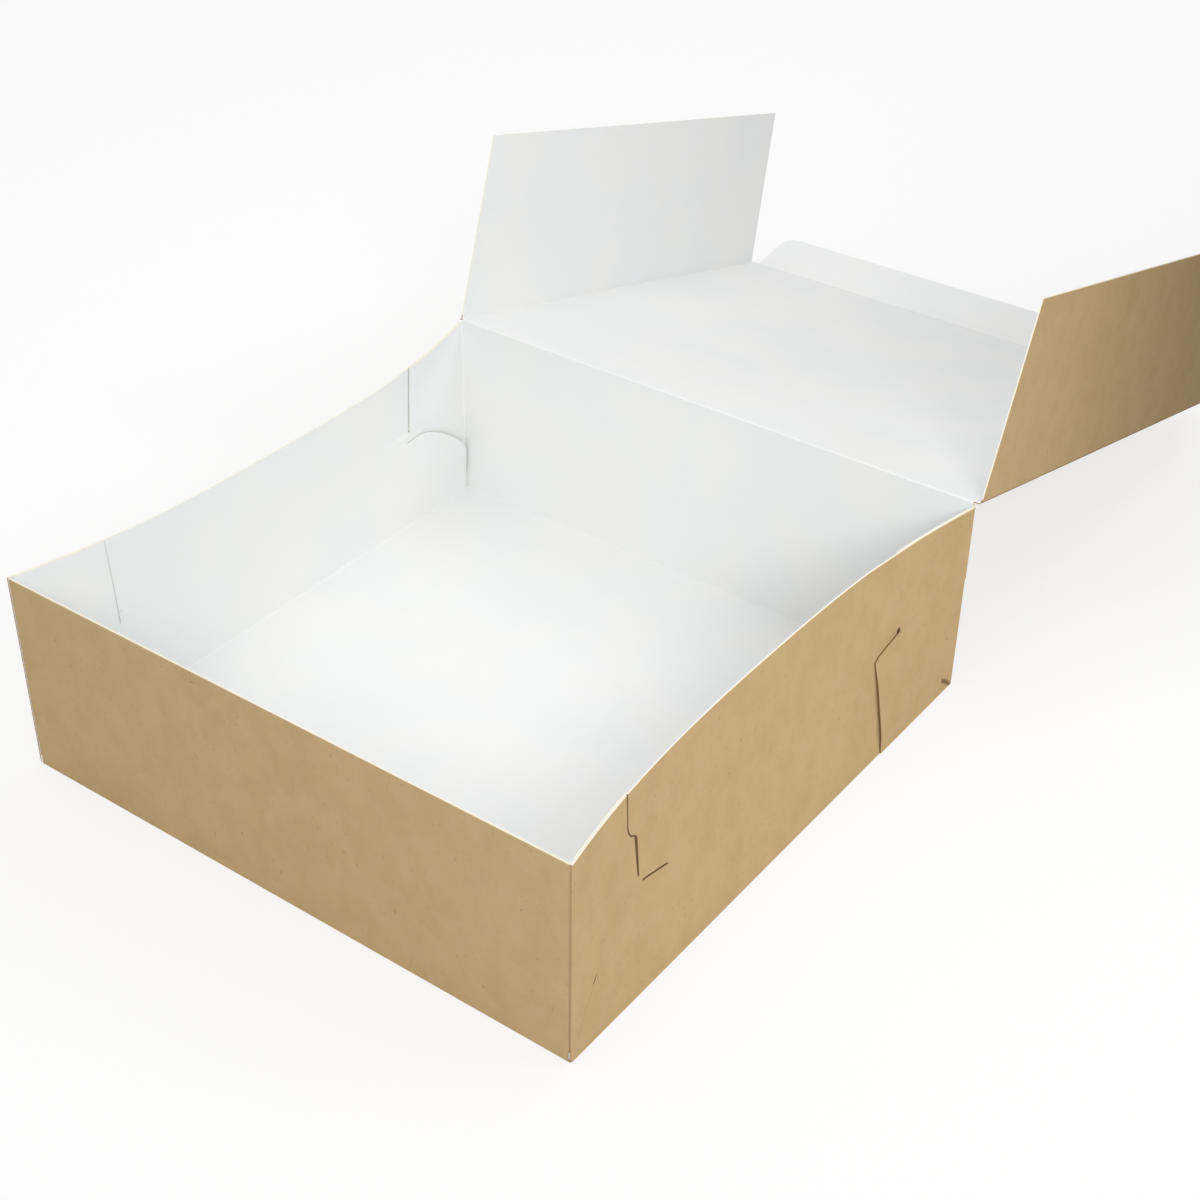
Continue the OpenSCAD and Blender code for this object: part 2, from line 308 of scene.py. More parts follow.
def makeKraft():
    s = Shader("kraft")
    clouds = s.noise(s.place((1, 1, 0.8)), 70, detail=3, rough=0.55)
    hues = s.noise(s.place((0.9, 0.9, 0.9), (0.4, 0.2, 0.9)), 105, detail=3, rough=0.55)
    blots = s.noise(s.place((1.2, 1.2, 0.8)), 260, detail=4, rough=0.6)
    grain = s.noise(s.place((1, 1, 0.3)), 2400, detail=2, rough=0.6)
    body = s.mix(0.35 + clouds.over(0.30, 0.68) * 0.6, kraft["dark"], kraft["base"])
    body = s.mix(hues.over(0.44, 0.66) * 0.45, body, kraft["warm"])
    body = s.mix((1 - hues.over(0.32, 0.52)) * 0.45, body, kraft["green"])
    body = s.mix((1 - blots.over(0.30, 0.55)) * 0.22, body, kraft["dark"])
    body = s.mix((1 - grain.over(0.30, 0.50)) * 0.16, body, kraft["dark"])
    specks = s.noise(s.place((1, 1, 0.5)), 700, detail=1, rough=0.5)
    body = s.mix(specks.over(0.72, 0.77) * 0.45, body, kraft["fibre"])
    # painted shade, as much as the points' shade says
    body = s.mix(s.given("shade") * 0.9, body, kraft["shade"])
    frayed = (s.given("worn") + (grain - 0.5) * 0.25).over(0.25, 0.75)
    body = s.mix(frayed, body, kraft["worn"])
    waves = s.noise(s.place(), 14, detail=1, rough=0.4)
    normal = s.bump(waves, 0.0012, 0.5)
    normal = s.bump(grain * 0.5 + blots * 0.5, 0.00005, 0.5, normal)
    return s.finish(Base_Color=body, Roughness=0.74 + blots * 0.12, Normal=normal,
                    Specular_IOR_Level=0.3)


def makeWhite():
    s = Shader("white")
    clouds = s.noise(s.place(), 18, detail=2, rough=0.5)
    grain = s.noise(s.place(), 1500, detail=2, rough=0.6)
    body = s.mix(clouds.over(0.35, 0.65), liner["cool"], liner["base"])
    # painted shade, as much as the points' shade says
    body = s.mix(s.given("shade"), body, liner["shade"])
    waves = s.noise(s.place(), 11, detail=1, rough=0.4)
    normal = s.bump(waves, 0.0014, 0.5)
    normal = s.bump(grain, 0.00002, 0.4, normal)
    return s.finish(Base_Color=body, Roughness=0.58 + grain * 0.06, Normal=normal,
                    Specular_IOR_Level=0.35)


def makeEdge(name, first, second):
    s = Shader(name)
    fibres = s.noise(s.place(), 2600, detail=2, rough=0.6)
    body = s.mix(fibres.over(0.35, 0.65), first, second)
    return s.finish(Base_Color=body, Roughness=0.9, Specular_IOR_Level=0.2)


cardMaterials = {
    "kraft": makeKraft(),
    "white": makeWhite(),
    "cutEdge": makeEdge("cutEdge", colour(247, 240, 222), liner["cut"]),
    # Rims marked slit are dark brown: painted shade, as in a narrow cut
    "slit": makeEdge("slit", colour(100, 76, 42), kraft["slit"]),
    "rawEdge": makeEdge("rawEdge", colour(172, 138, 100), colour(190, 158, 120)),
    # lapEdge rims are mid-brown: painted shade under the back corner flap's free edge
    "lapEdge": makeEdge("lapEdge", colour(120, 92, 54), colour(138, 108, 66)),
    # innerEdge rims are grey: painted shade for the line beside the white side's free edges
    "innerEdge": makeEdge("innerEdge", colour(212, 212, 208), liner["edge"]),
}
print("materials ready")

# Side walls and the corner locks

lock = {
    "backUpper": 53.0,  # back corner flap inside the wall, and how much longer at its top edge
    "backUpperLean": 3.0,
    "backLower": 73.5,  # back corner flap outside the wall, and how much shorter at its bottom
    "backLowerLean": 5.0,
    "backZ": 59.5,  # where the flap passes through the wall, and how much lower near the corner
    "backFall": 4.5,
    "cut": (3.0, 2.0),  # cut corner of the flap's lower part
    "slotOpen": 2.0,
    "slotSide": 6.0,  # last part of the wall before the slot
    "stepL": 26.0,  # length and height over which wall and flap step past each other
    "stepZ": 3.0,
    "tongueL": 40.0,  # curved end of the wall's tongue below the slot
    "tongueFall": 29.0,
    "tonguePower": 1.3,
    "notch": 0.2,  # at the foot of the back corner
    # painted shade for the dark gap at the bottom back corner: distances from the corner fold, and
    # its lower and upper heights there. Its outline is soft, and the flap has finer steps along
    # its span.
    "gap": ((0.0, 2.5, 6.0, 10.5, 11.2), (0.0, 1.6, 4.2, 7.8, 9.6), (1.2, 3.9, 7.4, 10.3, 8.0)),
    "gapSoft": 0.5,
    "gapSpan": 16,
    "backFoot": 1.1,
    "backEnd": 1.6,  # the wall's upper part ends this much short of the back corner
    "cover": 3.4,  # white side of the wall over the slot's open end
    "frontUpper": 45.5,  # front corner flap, and how much longer at its hook
    "frontLean": 5.0,
    "hook": 3.0,
    "hookTip": 0.8,
    "frontFoot": 5.5,
    "frontStrip": 0.4,  # the wall beside the front corner's cut edge
    "bend": (15.0, 30.0),  # in the front flap's lower edge: place from the corner, and height
    "slitY": 43.6,
    "slitLean": 1.2,
    "slitStep": 4.6,
    "slitEndZ": 59.0,
    "levelZ": 70.0,  # rows are level from here up
    # edges of the slit from its end to the wall's top: heights, and places from the foot of its
    # step
    "slitLeft": ((59.0, 79.7, 80.3, 81.0, 82.2, 84.0, 87.0, 102.8),
                 (0.9, 0.0, -1.3, -2.4, -3.4, -4.3, -4.8, -3.9)),
    "slitRight": ((59.0, 78.3, 80.0, 80.8, 81.5, 82.6, 84.4, 87.2, 102.8),
                  (2.1, 2.2, 0.5, -0.9, -1.9, -2.8, -3.5, -4.0, -3.0)),
    "slitBend": (78.0, 86.0),  # heights between which rows are close together
    "shortL": 19.0,
    "shortGap": 4.0,
    "shortBack": 0.9,
    "shortTurn": -14.0,
    "shortTip": 0.25,
    "nick": 5.0,
    "nickTurn": 55.0,
    "nickW": 0.7,
    "nickTip": 0.5,
    "dentZ": 12.5,
    "dentL": 10.0,
    # how dark the painted shade along the dent is
    "dentShade": 0.32,
    "slitW": 1.0,
    "topRow": 0.45,  # last row below the wall's top, so that only the edge looks worn
}
lift = {  # how far the free edges of the layers stand off the wall, and over what width
    "tongue": 1.4,
    "upper": 0.12,
    "lower": 0.9,
    "front": 0.45,
    "reach": 14.0,
}
slotY = halfD - lock["backUpper"] - lock["slotOpen"]
slotZ = lock["backZ"] + lock["stepZ"]
tongueZ = lock["backZ"] - lock["backFall"]
tongueY = halfD - 2 * fold
slitLow = lock["slitY"] - halfD - lock["slitLean"] + lock["slitStep"]
slitEnd = slitLow + lock["slitLeft"][1][0]
splitZ = lock["slitEndZ"] - lock["shortGap"]


# A side wall stands on the base's edge and leans in by an angle that grows from the corners to
# the middle, so its top edge bows: x = base edge + out - s sin(lean), z = fold + s cos(lean),
# with s the height up the card.
def onWall(y, up, out, side):
    bow, power = tray["bow"][side], tray["bowPower"][side]
    lean = np.arcsin(bow / wallTop * (1 - np.minimum(1, np.abs(y) / foldY) ** power))
    s = up - fold
    return np.stack([baseHalf + out - s * np.sin(lean), y, fold + s * np.cos(lean)], -1)


# The wall steps out over the back corner flap where the flap steps in
def toCorner(y):
    return smooth((y - slotY) / (foldY - slotY))


def wallOut(y, up):
    along = smooth((y - slotY + lock["stepL"]) / lock["stepL"])
    above = smooth((up - lock["backZ"]) / lock["stepZ"])
    return layer * along * above * (1 + toCorner(y))


def flapOut(y, up):
    past = smooth((y - halfD + lock["backUpper"]) / (lock["backUpper"] - lock["tongueL"]))
    stepIn = lock["backZ"] - lock["backFall"] * past
    return layer * (1 - smooth((up - stepIn) / (slotZ - stepIn)) * (1 - toCorner(y)))


# Each patch of wall is given as the four lines round it, once for each face of the card. A cut is
# open on the kraft side and closed on the white side, so no light comes through it.
def wallPatch(side, us, vs, out, kraftLines, whiteLines=None, edge="cutEdge", shade=0.0):
    y, up = patch(us, vs, *kraftLines)
    kraftGrid = onWall(y, up, out(y, up), side)
    y, up = patch(us, vs, *(whiteLines or kraftLines))
    return sheet(kraftGrid, onWall(y, up, out(y, up), side) - [card, 0, 0], edge, shade=shade)


# Where one edge of the front slit is at the heights z
def slitSide(z, edge):
    return slitLow + np.interp(z, *lock[edge])


# The patches of one side wall with its corner flaps and folds, and the places along its folds,
# which the front wall, the base and the back wall share
def sidePatches(side):
    endZ = lock["slitEndZ"]
    bendL, bendZ = lock["bend"]
    topRow = wallTop - lock["topRow"]
    nickA = math.radians(lock["nickTurn"])
    nickTop = bendZ + lock["nick"] * math.sin(nickA)
    lowRows = spread(fold, 6, 3, lock["dentZ"], 3, bendZ, 6, nickTop, 5, splitZ, 9)
    bendLow, bendHigh = lock["slitBend"]
    evenRows = spread(splitZ, endZ, 3, lock["backZ"], 1, slotZ, 5, lock["levelZ"], 4,
                      bendLow, 4, bendHigh, 20, topRow, 9, wallTop, 1)
    extraRows = [endZ + 0.2, slotZ - 0.05]
    highRows = np.unique(np.round(np.concatenate(
        [evenRows, extraRows, lock["slitLeft"][0][1:-1], lock["slitRight"][0][1:-1]]), 5))
    parts, feet = [], []

    def add(us, rows, kraftLines, whiteLines=None, edge="cutEdge", keepFoot=False,
            out=wallOut, shade=0.0):
        parts.append(wallPatch(side, us, share(rows), out, kraftLines, whiteLines, edge, shade))
        if keepFoot:
            feet.append(parts[-1]["kraft"][:, 0, 1])

    # front strip, in parts beside the nick and the dent that runs down from it, over the edge of
    # the front corner flap. The dent is drawn only as painted shade.
    nickY = bendL - halfD
    frontY = -halfD + lock["frontStrip"]
    seamZs = [lock["dentZ"], bendZ, nickTop]
    seamYs = [-lock["dentL"], 0, lock["nick"] * math.cos(nickA)]
    tip = lock["nickTip"]
    for rows in (lowRows, highRows):
        isLow = rows is lowRows
        seam = nickY + np.interp(rows, seamZs, seamYs)
        hole = lock["nickW"] * smooth((rows - bendZ) / tip) * smooth((nickTop - rows) / tip)
        # painted shade along the dent, fading at its ends
        dentShade = lock["dentShade"] * smooth((rows - 5) / 6) * smooth((bendZ + 2 - rows) / 4)
        ends = rows[0], rows[-1]
        add([0, 1], rows, (-halfD, frontY, *ends), None, "rawEdge", isLow)
        us = share([frontY, -foldY, *np.linspace(-foldY, nickY, 7)[1:-1], nickY - 0.5, nickY])
        marks = np.outer(us == 1, dentShade)
        add(us, rows, (frontY, seam - hole, *ends), (frontY, seam, *ends), "slit", isLow,
            shade=marks)
        gapes = rows > endZ + slack
        middle = slitSide(rows, "slitLeft") * 0.5 + slitSide(rows, "slitRight") * 0.5
        line = np.where(gapes, middle, slitEnd)
        slitFront = np.where(gapes, slitSide(rows, "slitLeft"), slitEnd)
        us = spread(0, 0.016, 1, 0.97, 13, 1, 1)
        marks = np.outer(us == 0, dentShade)
        add(us, rows, (seam, slitFront, *ends), (seam, line, *ends), "slit", isLow, shade=marks)
    # main part, in two parts above and below the line of the short slit
    turn = math.radians(lock["shortTurn"])
    shortA = slitEnd + lock["shortGap"] - lock["shortBack"]
    shortB = shortA + lock["shortL"] * math.cos(turn)
    drop = lock["shortL"] * math.sin(turn)
    tip = lock["shortTip"]
    beside = slotY - lock["slotSide"]
    ys = spread(slitEnd, shortA, 3, shortA + tip, 1, shortB - tip, 12, shortB, 1,
                0, 24, slotY - lock["stepL"], 16, beside, 11, slotY, 3)
    seam = splitZ + np.interp(ys, [shortA, shortB, shortB + 40, slotY], [0, drop, 0, 0])
    shortYs = [shortA, shortA + tip, shortB - tip, shortB]
    hole = np.interp(ys, shortYs, [0, 1, 1, 0]) * lock["slitW"]
    foot = slitEnd, slotY, lowRows[0]
    add(share(ys), lowRows, (*foot, seam), (*foot, seam + hole / 2), "slit", True)
    coverZs = [tongueZ, tongueZ + 1, slotZ - 0.05, slotZ]
    for mask in (highRows < lock["levelZ"] + slack, highRows > lock["levelZ"] - slack):
        rows = highRows[mask]
        top = rows[-1]
        low = [seam + hole, seam + hole / 2] if rows[0] == splitZ else [rows[0] + 0 * ys] * 2
        slitBack = np.where(rows > endZ + slack, slitSide(rows, "slitRight"), slitEnd)
        cover = lock["cover"] * np.interp(rows, coverZs, [0, 1, 1, 0])
        spans = ((ys < beside + slack, (slitBack, beside), (line[mask], beside)),
                 (ys > beside - slack, (beside, slotY), (beside, slotY + cover)))
        for part, kraftEnds, whiteEnds in spans:
            add(share(ys[part]), rows, (*kraftEnds, low[0][part], top),
                (*whiteEnds, low[1][part], top), "slit")
    # the tongue, with a curved end: height falls by 1 - (1 - u^p)^(1/p) of its fall. Its end curls
    # in a little.
    length, power = lock["tongueL"], lock["tonguePower"]
    u = np.sin(np.radians(np.linspace(0, 90, 28)))
    ys = np.concatenate([spread(slotY, tongueY - length, 6)[:-1], tongueY - length * (1 - u)])
    u = np.clip((ys - tongueY + length) / length, 0, 1)
    top = tongueZ - lock["tongueFall"] * (1 - np.clip(1 - u ** power, 0, 1) ** (1 / power))
    curl = smooth((ys - slotY - 6) / (tongueY - slotY - 12))[:, None]

    def curledIn(y, up):
        return wallOut(y, up) - lift["tongue"] * curl * smooth((up - 4) / 24)

    add(share(ys), lowRows, (slotY, tongueY, lowRows[0], top), None, "innerEdge", True, curledIn)
    # the upper part at the back, above the slot
    rows = highRows[highRows > slotZ - 1e-6]
    backEnd = halfD - lock["backEnd"]
    add(np.linspace(0, 1, 25), rows, (slotY, backEnd, rows[0], rows[-1]), None, "lapEdge")

    # fold along the base
    ys = np.concatenate([feet[0]] + [foot[1:] for foot in feet[1:]])
    ys = np.concatenate([ys[ys > -foldY - 1e-6], [foldY]])
    parts.append(foldPatch(ys, (baseHalf - fold, fold), "base"))

    # front corner flap, inside the wall, with its free end standing a little further in
    hookD, hookZ = lock["frontUpper"] + lock["frontLean"], endZ - 6
    hookFoot, hookTip = hookD - lock["hook"], hookD - lock["hookTip"]
    ds = spread(fold, bendL, 6, hookFoot, 12, hookTip, 2, hookD, 2)
    lowZs = [lock["frontFoot"], bendZ, hookZ - 2, hookZ]
    low = np.interp(ds, [fold, bendL, hookFoot, hookD], lowZs)
    frontRows = spread(0, 0.99, 32, 1, 1)
    right = hookD - lock["frontLean"] * frontRows - halfD

    def insideWall(y, up):
        reach = smooth((y - right[None, :] + lift["reach"]) / lift["reach"])
        return -layer - lift["front"] * reach * smooth((wallTop - up) / 30)

    lines = -foldY, right, low, wallTop
    # painted shade along the flap's free end, fading upward
    edgeShade = np.interp(ds, [hookTip, hookD], [0, 1])[:, None] * (1 - 0.5 * frontRows[None, :])
    us = share(ds)
    parts.append(wallPatch(side, us, frontRows, insideWall, lines, None, "innerEdge", edgeShade))
    frontZs = lock["frontFoot"] + (wallTop - lock["frontFoot"]) * frontRows
    parts.append(foldPatch(frontZs, (baseHalf - layer - fold, -foldY), "front"))

    # back corner flap: outside the wall below the slot, inside above it
    lower, upper, cut = lock["backLower"], lock["backUpper"], lock["cut"]
    foot, cutZ = lock["backFoot"], tongueZ - cut[1]
    zs = spread(foot, 14, 20, cutZ, 9, tongueZ, 3, lock["backZ"], 6, slotZ, 5,
                topRow, 12, wallTop, 1)
    lengths = [lower - lock["backLowerLean"], lower, lower - cut[0], upper,
               upper + lock["backUpperLean"]]
    free = halfD - np.interp(zs, [foot, cutZ, tongueZ, lock["backZ"], wallTop], lengths)
    width = foldY - free[0]
    fine = 1 - lock["gapSpan"] / width
    us = np.concatenate([np.linspace(0, fine, 23), np.linspace(fine, 1, 21)[1:]])
    notch = lock["notch"]
    low = foot + notch * np.clip((us - 1 + notch / width) * width / notch, 0, 1)
    away, soft = (1 - us) * width, lock["gapSoft"]
    under, over = (np.interp(away, lock["gap"][0], heights)[:, None]
                   for heights in lock["gap"][1:])
    turnRow = int(np.argmin(np.abs(zs - slotZ)))
    backZs = []
    # the lower half's rims are dark as painted shade under a lifted edge; the upper half's are
    # grey as painted shade beside an inner free edge
    halves = (slice(0, turnRow + 1), low, "lapEdge"), (slice(turnRow, None), slotZ, "innerEdge")
    for rows, bottom, edge in halves:
        near = free[rows]

        def standOff(y, up):
            reach = smooth((near[None, :] + lift["reach"] - y) / lift["reach"])
            below = lift["lower"] * smooth((up - foot) / 12) * smooth((tongueZ - up) / 16)
            return flapOut(y, up) + reach * (below - lift["upper"] * smooth((up - slotZ) / 8))

        # painted shade of the gap, with a soft outline
        gapShade = (np.clip((zs[rows] - under) / soft + 0.5, 0, 1)
                  * np.clip((over - zs[rows]) / soft + 0.5, 0, 1))
        lines = near, foldY, bottom, zs[rows][-1]
        vs = share(zs[rows])
        parts.append(wallPatch(side, us, vs, standOff, lines, None, edge, gapShade))
        backZs = np.append(backZs[:-1], parts[-1]["kraft"][-1, :, 2])
    parts.append(foldPatch(backZs, (baseHalf + layer - fold, foldY), "back"))
    return parts, ys, frontZs, backZs


# A quarter turn of card about a line: outside at the fold's radius, inside a card less
def foldPatch(along, centre, kind):
    turn = {"base": (-90, 0), "front": (-90, 0), "back": (0, 90)}[kind]
    a = np.radians(np.linspace(*turn, 7))
    layers = []
    for radius in (fold, fold - card):
        c, d = centre[0] + radius * np.cos(a), centre[1] + radius * np.sin(a)
        if kind == "base":  # runs along Y
            grid = np.stack(np.broadcast_arrays(c[None, :], along[:, None], d[None, :]), -1)
        else:  # runs up Z
            grid = np.stack(np.broadcast_arrays(c[:, None], d[:, None], along[None, :]), -1)
        layers.append(grid)
    shade = 0.0
    if kind == "front":  # darker towards the side wall and the base
        # painted shade in the fold, darker towards the side wall and the base
        shade = np.outer(np.linspace(0, 0.8, 7), 1 - 0.5 * share(along))
    return sheet(*layers, "slit", shade=shade)


# The same patches on the other side, turned round so that their faces keep their way out
def mirrored(parts):
    flipped = []
    for p in parts:
        layers = ((p[face] * [-1, 1, 1])[::-1] for face in ("kraft", "white"))
        shades = p["shade"][::-1]
        flipped.append(sheet(*layers, p["edge"], shades[:, :, 0], shades[:, :, 1]))
    return flipped


# The strip of front wall, base and back wall: flat panels and two quarter turns along X
def stripPatches(baseYs, frontZs, backZs):
    xs = np.linspace(-(baseHalf - layer - fold), baseHalf - layer - fold, 41)
    baseXs = np.concatenate([[-(baseHalf - fold)], xs, [baseHalf - fold]])
    backXs = np.concatenate([[-(baseHalf + layer - fold)], baseXs, [baseHalf + layer - fold]])
    frontZs = np.concatenate([[fold, (fold + frontZs[0]) / 2], frontZs])
    backZs = np.concatenate([[fold, (fold + backZs[0]) / 2], backZs, [tray["height"]]])

    def flat(us, vs, order):
        return np.stack(np.broadcast_arrays(*order(us[:, None], vs[None, :])), -1)

    faces = 0, card
    parts = [
        tuple(flat(xs, frontZs, lambda x, z: (x, -halfD + inset, z)) for inset in faces),
        tuple(flat(baseXs, baseYs[::-1], lambda x, y: (x, y, 0.0 + inset)) for inset in faces),
        tuple(flat(backXs, backZs[::-1], lambda x, z: (x, halfD - inset, z)) for inset in faces),
    ]
    for centre, turn in ((-foldY, (-90, -180)), (foldY, (0, -90))):
        a = np.radians(np.linspace(*turn, 7))
        parts.append(tuple(
            flat(baseXs, a, lambda x, t: (x, centre + r * np.cos(t), fold + r * np.sin(t)))
            for r in (fold, fold - card)))
    return [sheet(*layers, "rawEdge") for layers in parts]


# Lid and flaps

lid = {
    "drop": 14.4,  # how far the open lid hangs below level
    "sideClear": 0.5,
    "tuckClear": 0.5,
    "hingeClear": 0.35,
    "hingeRise": 0.3,
    "creaseGap": 0.05,
    "flapGap": 7.0,
    "flapTaper": 6.0,
    "flapInset": 2.0,
    "flapAngle": {"left": 90.0, "right": 88.5},
    "tuckLength": 35.0,
    "tuckRadius": 9.0,
    "tuckInset": 4.5,
    "tuckAngle": 24.0,
}
hingeY = halfD + lid["hingeClear"]
hingeZ = tray["height"] + lid["hingeRise"]
creaseX = halfW + lid["sideClear"]
lidLength = hingeY + halfD - 2 * card - lid["tuckClear"]
flapHeight = hingeZ - lid["flapGap"]
gap = lid["creaseGap"]
hinge = np.array([0, hingeY, hingeZ])

# The tray's card, which meets the lid at the hinge
rightSide, baseYs, frontZs, backZs = sidePatches("right")
leftSide = sidePatches("left")[0]
trayPatches = rightSide + mirrored(leftSide) + stripPatches(baseYs, frontZs, backZs)
cardPiece("trayCard", trayPatches, "tray", ["tray"], wallTop - rimRules["top"],
          [(hinge, (1, 0, 0))])


def turnX(points, angle):
    c, s = math.cos(math.radians(angle)), math.sin(math.radians(angle))
    return points @ np.array([[1, 0, 0], [0, c, s], [0, -s, c]])


def turnY(points, angle):
    c, s = math.cos(math.radians(angle)), math.sin(math.radians(angle))
    return points @ np.array([[c, 0, -s], [0, 1, 0], [s, 0, c]])


def onLid(points):
    # from the lid's own frame, X across, Y away from the hinge, Z up from the white side
    return turnX(points, -lid["drop"]) + hinge


def panel(xs, ys, reach):
    # a flat panel from xs and ys from 0 to 1, white side at Z 0, with reach giving its two ends
    low, high = reach(xs)
    x = xs[:, None] * np.ones((1, len(ys)))
    y = low[:, None] + (high - low)[:, None] * ys[::-1][None, :]
    return tuple(np.stack([x, y, np.full_like(x, z)], -1) for z in (-card, 0.0))


def sideFlap(side):
    near, far = lid["flapInset"], lidLength - lid["flapInset"]
    taper = lambda x: lid["flapTaper"] * (x - gap) / (flapHeight - gap)
    ends = spread(0, 0.0025, 1, 0.9975, 80, 1, 1)
    xs = spread(gap, flapHeight - 0.7, 32, flapHeight, 1)
    flat = panel(xs, ends, lambda x: (near + taper(x), far - taper(x)))
    sign = 1 if side == "right" else -1
    layers = []
    for grid in flat:
        grid = (grid * [sign, 1, 1])[::sign]
        grid = turnY(grid, -sign * lid["flapAngle"][side]) + [sign * creaseX, 0, 0]
        layers.append(onLid(grid))
    return [sheet(*layers)]


def tuckFlap():
    half, radius, length = creaseX - lid["tuckInset"], lid["tuckRadius"], lid["tuckLength"]
    corner = half - radius + radius * np.sin(np.radians(np.linspace(0, 90, 10)))
    middle = np.linspace(-half + radius, half - radius, 61)[1:-1]
    xs = np.concatenate([-corner[::-1], middle, corner])

    def reach(x):
        past = np.clip((np.abs(x) - half + radius) / radius, 0, 1)
        return np.full_like(x, gap), gap + length - radius + radius * np.sqrt(1 - past ** 2)

    flat = panel(xs, spread(0, 0.976, 12, 1, 1), reach)
    return [sheet(*(onLid(turnX(grid, lid["tuckAngle"]) + [0, lidLength, 0]) for grid in flat))]


edge = creaseX - gap
lidPanel = panel(np.linspace(-edge, edge, 81), np.linspace(0, 1, 81),
                 lambda x: (np.full_like(x, gap), np.full_like(x, lidLength - gap)))

# Creases that open: a strip of card over each hinge line. Its kraft
# side goes round the line at a card's thickness, and its white side stays close to the line.
# Dark gives rows of the strip, and how much painted shade darkens the kraft side there.

crease = {
    "reach": 1.3,
    "proud": 0.02,
    "dark": ((0, 2, 4, 7, 10, 12, 14), (0, 0.1, 0.7, 0.9, 0.7, 0.1, 0)),
    "round": 0.12,
}


def creaseStrip(name, bodies, pivot, along, parentWay, childWay, parentUp, childUp):
    pivot, along = np.array(pivot), np.array(along)
    ways = [np.array(v, float) for v in (parentWay, childWay, parentUp, childUp)]
    p, q, n, m = [v / np.linalg.norm(v) for v in ways]
    reach, skin = crease["reach"], crease["proud"]
    thick = card + skin
    t = np.linspace(0, 1, 7)
    mixUp = (1 - t)[:, None] * n + t[:, None] * m
    mixUp /= np.linalg.norm(mixUp, axis=1)[:, None]
    tail = np.linspace(reach, 0.15, 4)[:, None]
    kraftPath = np.concatenate([p * tail - n * thick, -mixUp * thick, q * tail[::-1] - m * thick])
    between = (1 - t)[:, None] * p + t[:, None] * q
    whitePath = np.concatenate([p * tail + n * skin, mixUp * skin + crease["round"] * between,
                                q * tail[::-1] + m * skin])
    steps = np.linspace(0, 1, 41)[:, None, None]
    layers = tuple(pivot + path[None, :, :] + along * steps for path in (kraftPath, whitePath))
    if np.dot(np.cross(along, q - p), -(n + m)) < 0:
        layers = tuple(grid[::-1] for grid in layers)
    # painted shade across the strip's kraft side
    dark = np.interp(np.arange(len(kraftPath)), *crease["dark"])[None, :]
    piece = cardPiece(name, [sheet(*layers, "rawEdge", dark, 0.0)], None, [])
    middle = pivot + along / 2
    tuple((middle + p * reach) / 1000)
    tuple((middle + q * reach) / 1000)
    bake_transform(piece)


def lidWay(vector):
    # a way in the lid's own frame, as the lid hangs
    return turnX(np.array(vector, float), -lid["drop"])


# Crease lines: a point and a way along each
run = lidLength - 2 * lid["flapInset"]
half = creaseX - lid["tuckInset"]
lidCreases = {
    "left": (onLid(np.array([-creaseX, lid["flapInset"], 0])), lidWay([0, run, 0])),
    "right": (onLid(np.array([creaseX, lid["flapInset"], 0])), lidWay([0, run, 0])),
    "tuck": (onLid(np.array([-half, lidLength, 0])), lidWay([2 * half, 0, 0])),
    "back": (hinge, np.array([1.0, 0, 0])),
}
lidLayers = [onLid(grid) for grid in lidPanel]
cardPiece("lidCard", [sheet(*lidLayers)], "lid", ["lid"], None, lidCreases.values())
cardPiece("leftFlapCard", sideFlap("left"), "left_flap", ["left_flap"], None,
          [lidCreases["left"]])
cardPiece("rightFlapCard", sideFlap("right"), "right_flap", ["right_flap"], None,
          [lidCreases["right"]])
cardPiece("tuckFlapCard", tuckFlap(), "tuck_flap", ["tuck_flap"], None, [lidCreases["tuck"]])
for side, sign in (("left", -1), ("right", 1)):
    angle = -sign * lid["flapAngle"][side]
    creaseStrip(side + "FlapCrease", ("lid", side + "_flap"), *lidCreases[side],
                lidWay([-sign, 0, 0]), lidWay(turnY(np.array([sign, 0, 0.0]), angle)),
                lidWay([0, 0, 1]), lidWay(turnY(np.array([0, 0, 1.0]), angle)))
creaseStrip("tuckFlapCrease", ("lid", "tuck_flap"), *lidCreases["tuck"],
            lidWay([0, -1, 0]), lidWay(turnX(np.array([0, 1.0, 0]), lid["tuckAngle"])),
            lidWay([0, 0, 1]), lidWay(turnX(np.array([0, 0, 1.0]), lid["tuckAngle"])))


